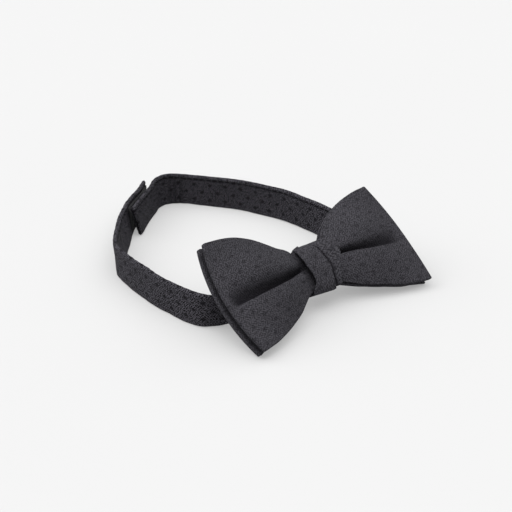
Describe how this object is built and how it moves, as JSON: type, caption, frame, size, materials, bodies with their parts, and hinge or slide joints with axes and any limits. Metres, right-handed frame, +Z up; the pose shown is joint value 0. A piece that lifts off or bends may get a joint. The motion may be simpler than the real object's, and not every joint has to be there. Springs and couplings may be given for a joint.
{
  "type": "bow tie",
  "caption": "Pre-tied bow tie: two stacked looped bows gathered under a wrapped knot, on a flat neck band that closes behind the neck with a hook-and-loop flap.",
  "frame": {"origin": "on the table, under the middle of the object's box", "axes": "+X along the bow towards the wing whose side carries the inner end of the band, +Y from the bow towards the closure, +Z up from the table"},
  "size_m": [0.132, 0.1736, 0.0446],
  "materials": {
    "jacquard": "black crepe weave with small woven dots, soft sheen",
    "bow_lining": "inner turn of the same black cloth",
    "interlining": "unbleached canvas, matt",
    "thread": "black spun polyester thread",
    "wadding": "soft felted wadding",
    "hook_tape": "woven nylon hook tape",
    "loop_tape": "brushed nylon loop tape"
  },
  "bodies": {
    "bow": {"front_bow_face": "jacquard", "front_bow_interlining": "interlining", "front_bow_lining": "bow_lining", "back_bow_face": "jacquard", "back_bow_interlining": "interlining", "back_bow_lining": "bow_lining", "waist_thread": "thread", "knot_padding": "wadding", "knot_inner_turn": "jacquard", "knot_outer_turn": "jacquard", "knot_stitches": "thread", "band_centre": "jacquard", "band_centre_interlining": "interlining", "band_centre_stitches": "thread"},
    "band_left": {"band_left": "jacquard", "band_left_interlining": "interlining", "band_left_stitches": "thread"},
    "closure_flap": {"flap": "jacquard", "flap_interlining": "interlining", "flap_stitches": "thread", "flap_end_stitches": "thread", "hook_tape": "hook_tape", "hook_tape_stitches": "thread"},
    "band_right": {"band_right": "jacquard", "band_right_interlining": "interlining", "band_right_stitches": "thread", "band_right_end_stitches": "thread", "loop_tape": "loop_tape", "loop_tape_stitches": "thread"}
  },
  "joints": [
    {"name": "band_left_swing", "type": "hinge", "parent": "bow", "child": "band_left", "pos_m": [-0.0646, -0.0122, 0.01], "axis": [0, 0, 1], "range_deg": [0, 45]},
    {"name": "band_right_swing", "type": "hinge", "parent": "bow", "child": "band_right", "pos_m": [0.0546, 0.0048, 0.01], "axis": [0, 0, -1], "range_deg": [0, 45]},
    {"name": "closure_peel", "type": "hinge", "parent": "band_left", "child": "closure_flap", "pos_m": [-0.0404, 0.0594, 0.01], "axis": [0, 0, 1], "range_deg": [0, 70]}
  ],
  "couplings": [
    {"joint": "band_right_swing", "follows": "band_left_swing", "ratio": 1}
  ]
}
